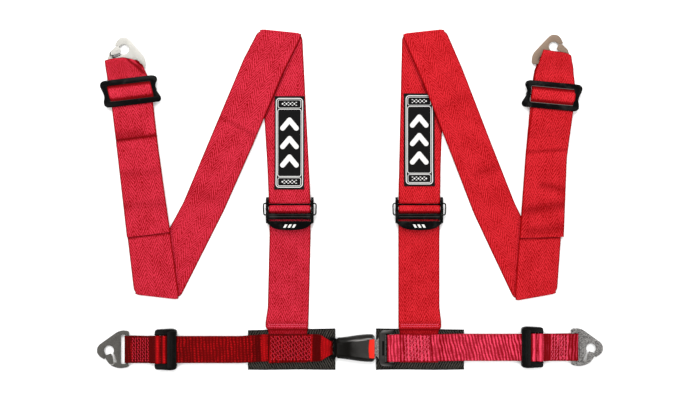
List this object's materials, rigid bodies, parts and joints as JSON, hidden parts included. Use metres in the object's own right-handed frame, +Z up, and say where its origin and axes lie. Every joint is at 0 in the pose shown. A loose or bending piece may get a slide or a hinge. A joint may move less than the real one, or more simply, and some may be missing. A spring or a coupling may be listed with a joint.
{
  "type": "racing harness",
  "caption": "Racing harness laid out flat: lap and shoulder straps, push-button buckle, tilt-lock adjusters, webbing slides and spring-gated snap hooks.",
  "frame": {"origin": "on the resting surface under the middle of the laid-out harness's box", "axes": "+X along the lap belt from the buckle's half to the tongue's half, +Y towards the shoulder hooks, +Z up"},
  "size_m": [0.931, 0.628, 0.019],
  "materials": {
    "shoulder_webbing": "woven polyester webbing with a fine twill",
    "lap_webbing_left": "ribbed woven webbing, deep red",
    "lap_webbing_right": "ribbed woven webbing",
    "pad_webbing": "ribbed black webbing",
    "label_fabric": "satin woven patch with a white outline",
    "slide_plastic": "moulded, lightly worn",
    "buckle_plastic": "fine moulded grain",
    "button_plastic": "smooth",
    "black_steel": "black coated, semi gloss",
    "hook_steel": "zinc plated, pressed",
    "bright_steel": "plated"
  },
  "bodies": {
    "left_half": {"left_lap_webbing": "lap_webbing_left", "left_lap_pad": "pad_webbing", "left_lower_shoulder_webbing": "shoulder_webbing", "left_upper_shoulder_webbing": "shoulder_webbing", "left_label_patch": "label_fabric", "buckle_bottom_cover": "buckle_plastic", "buckle_top_cover": "buckle_plastic", "buckle_frame": "black_steel", "buckle_latch_pin": "bright_steel", "buckle_latch_spring": "bright_steel", "buckle_ejector_spring": "bright_steel", "buckle_button_springs": "bright_steel"},
    "right_half": {"right_lap_webbing": "lap_webbing_right", "right_lap_pad": "pad_webbing", "right_lower_shoulder_webbing": "shoulder_webbing", "right_upper_shoulder_webbing": "shoulder_webbing", "right_label_patch": "label_fabric", "tongue_plate": "bright_steel", "tongue_cover": "buckle_plastic"},
    "button": {"buckle_button": "button_plastic"},
    "latch": {"buckle_latch": "bright_steel"},
    "ejector": {"buckle_ejector": "buckle_plastic"},
    "left_lap_hook": {"left_lap_hook_plate": "hook_steel", "left_lap_hook_loop": "lap_webbing_left", "left_lap_hook_rivet": "hook_steel", "left_lap_hook_spring": "hook_steel"},
    "left_lap_gate": {"left_lap_hook_gate": "hook_steel"},
    "right_lap_hook": {"right_lap_hook_plate": "hook_steel", "right_lap_hook_loop": "lap_webbing_right", "right_lap_hook_rivet": "hook_steel", "right_lap_hook_spring": "hook_steel"},
    "right_lap_gate": {"right_lap_hook_gate": "hook_steel"},
    "left_shoulder_hook": {"left_shoulder_hook_plate": "hook_steel", "left_shoulder_hook_loop": "shoulder_webbing", "left_shoulder_hook_rivet": "hook_steel", "left_shoulder_hook_spring": "hook_steel"},
    "left_shoulder_gate": {"left_shoulder_hook_gate": "hook_steel"},
    "right_shoulder_hook": {"right_shoulder_hook_plate": "hook_steel", "right_shoulder_hook_loop": "shoulder_webbing", "right_shoulder_hook_rivet": "hook_steel", "right_shoulder_hook_spring": "hook_steel"},
    "right_shoulder_gate": {"right_shoulder_hook_gate": "hook_steel"},
    "left_lap_slider": {"left_lap_slide": "slide_plastic"},
    "left_shoulder_slider": {"left_shoulder_slide_frame": "black_steel", "left_shoulder_slide_bar": "black_steel"},
    "left_adjuster": {"left_adjuster_frame": "black_steel", "left_adjuster_top_bar": "black_steel", "left_adjuster_wrap": "shoulder_webbing", "left_adjuster_spring": "bright_steel"},
    "left_slip_bar": {"left_adjuster_slip_bar": "bright_steel"},
    "right_lap_slider": {"right_lap_slide": "slide_plastic"},
    "right_shoulder_slider": {"right_shoulder_slide_frame": "black_steel", "right_shoulder_slide_bar": "black_steel"},
    "right_adjuster": {"right_adjuster_frame": "black_steel", "right_adjuster_top_bar": "black_steel", "right_adjuster_wrap": "shoulder_webbing", "right_adjuster_spring": "bright_steel"},
    "right_slip_bar": {"right_adjuster_slip_bar": "bright_steel"}
  },
  "joints": [
    {"name": "tongue_release", "type": "slide", "parent": "left_half", "child": "right_half", "axis": [1, 0, 0], "range_m": [0, 0.05]},
    {"name": "button_press", "type": "slide", "parent": "left_half", "child": "button", "axis": [-1, 0, 0], "range_m": [0, 0.004], "stiffness_N_per_m": 600, "springref_m": -0.003, "deforming": ["buckle_button_springs"]},
    {"name": "latch_lift", "type": "hinge", "parent": "left_half", "child": "latch", "pos_m": [-0.006, -0.273, 0.0123], "axis": [0, -1, 0], "range_deg": [0, 6.2], "deforming": ["buckle_latch_spring"]},
    {"name": "ejector_push", "type": "slide", "parent": "left_half", "child": "ejector", "axis": [1, 0, 0], "range_m": [0, 0.0085], "deforming": ["buckle_ejector_spring"]},
    {"name": "left_lap_hook_tilt", "type": "hinge", "parent": "left_half", "child": "left_lap_hook", "pos_m": [-0.4, -0.276, 0.0034], "axis": [0, 1, 0], "range_deg": [-45, 45]},
    {"name": "left_lap_gate_swing", "type": "hinge", "parent": "left_lap_hook", "child": "left_lap_gate", "pos_m": [-0.437, -0.3025, 0.0056], "axis": [0, 0, -1], "range_deg": [0, 25], "stiffness_Nm_per_rad": 0.05, "springref_deg": -11.46},
    {"name": "right_lap_hook_tilt", "type": "hinge", "parent": "right_half", "child": "right_lap_hook", "pos_m": [0.4, -0.272, 0.0034], "axis": [0, 1, 0], "range_deg": [-45, 45]},
    {"name": "right_lap_gate_swing", "type": "hinge", "parent": "right_lap_hook", "child": "right_lap_gate", "pos_m": [0.437, -0.2985, 0.0056], "axis": [0, 0, 1], "range_deg": [0, 25], "stiffness_Nm_per_rad": 0.05, "springref_deg": -11.46},
    {"name": "left_shoulder_hook_tilt", "type": "hinge", "parent": "left_half", "child": "left_shoulder_hook", "pos_m": [-0.409, 0.233, 0.0034], "axis": [0.9945, 0.1045, 0], "range_deg": [-45, 45]},
    {"name": "left_shoulder_gate_swing", "type": "hinge", "parent": "left_shoulder_hook", "child": "left_shoulder_gate", "pos_m": [-0.43922, 0.26703, 0.0056], "axis": [0, 0, -1], "range_deg": [0, 25], "stiffness_Nm_per_rad": 0.05, "springref_deg": -11.46},
    {"name": "right_shoulder_hook_tilt", "type": "hinge", "parent": "right_half", "child": "right_shoulder_hook", "pos_m": [0.3667, 0.2382, 0.0034], "axis": [-0.9903, 0.1392, 0], "range_deg": [-45, 45]},
    {"name": "right_shoulder_gate_swing", "type": "hinge", "parent": "right_shoulder_hook", "child": "right_shoulder_gate", "pos_m": [0.39809, 0.27115, 0.0056], "axis": [0, 0, 1], "range_deg": [0, 25], "stiffness_Nm_per_rad": 0.05, "springref_deg": -11.46},
    {"name": "left_lap_slide_travel", "type": "slide", "parent": "left_half", "child": "left_lap_slider", "axis": [1, 0, 0], "range_m": [-0.008, 0.11]},
    {"name": "left_shoulder_slide_travel", "type": "slide", "parent": "left_half", "child": "left_shoulder_slider", "axis": [-0.1184, 0.993, 0], "range_m": [-0.08, 0]},
    {"name": "left_adjuster_tilt", "type": "hinge", "parent": "left_half", "child": "left_adjuster", "pos_m": [-0.1104, -0.004, 0.007], "axis": [-1, 0, 0], "range_deg": [0, 35]},
    {"name": "left_slip_bar_travel", "type": "slide", "parent": "left_adjuster", "child": "left_slip_bar", "axis": [0, -1, 0], "range_m": [0, 0.0025], "stiffness_N_per_m": 900, "springref_m": -0.001},
    {"name": "right_lap_slide_travel", "type": "slide", "parent": "right_half", "child": "right_lap_slider", "axis": [-1, 0, 0], "range_m": [-0.008, 0.095]},
    {"name": "right_shoulder_slide_travel", "type": "slide", "parent": "right_half", "child": "right_shoulder_slider", "axis": [0.0924, 0.9957, 0], "range_m": [-0.08, 0]},
    {"name": "right_adjuster_tilt", "type": "hinge", "parent": "right_half", "child": "right_adjuster", "pos_m": [0.127, -0.004, 0.007], "axis": [-1, 0, 0], "range_deg": [0, 35]},
    {"name": "right_slip_bar_travel", "type": "slide", "parent": "right_adjuster", "child": "right_slip_bar", "axis": [0, -1, 0], "range_m": [0, 0.0025], "stiffness_N_per_m": 900, "springref_m": -0.001}
  ],
  "couplings": [
    {"joint": "latch_lift", "follows": "button_press", "rad_per_m": 26.2},
    {"joint": "ejector_push", "follows": "tongue_release", "ratio": 0.16}
  ]
}
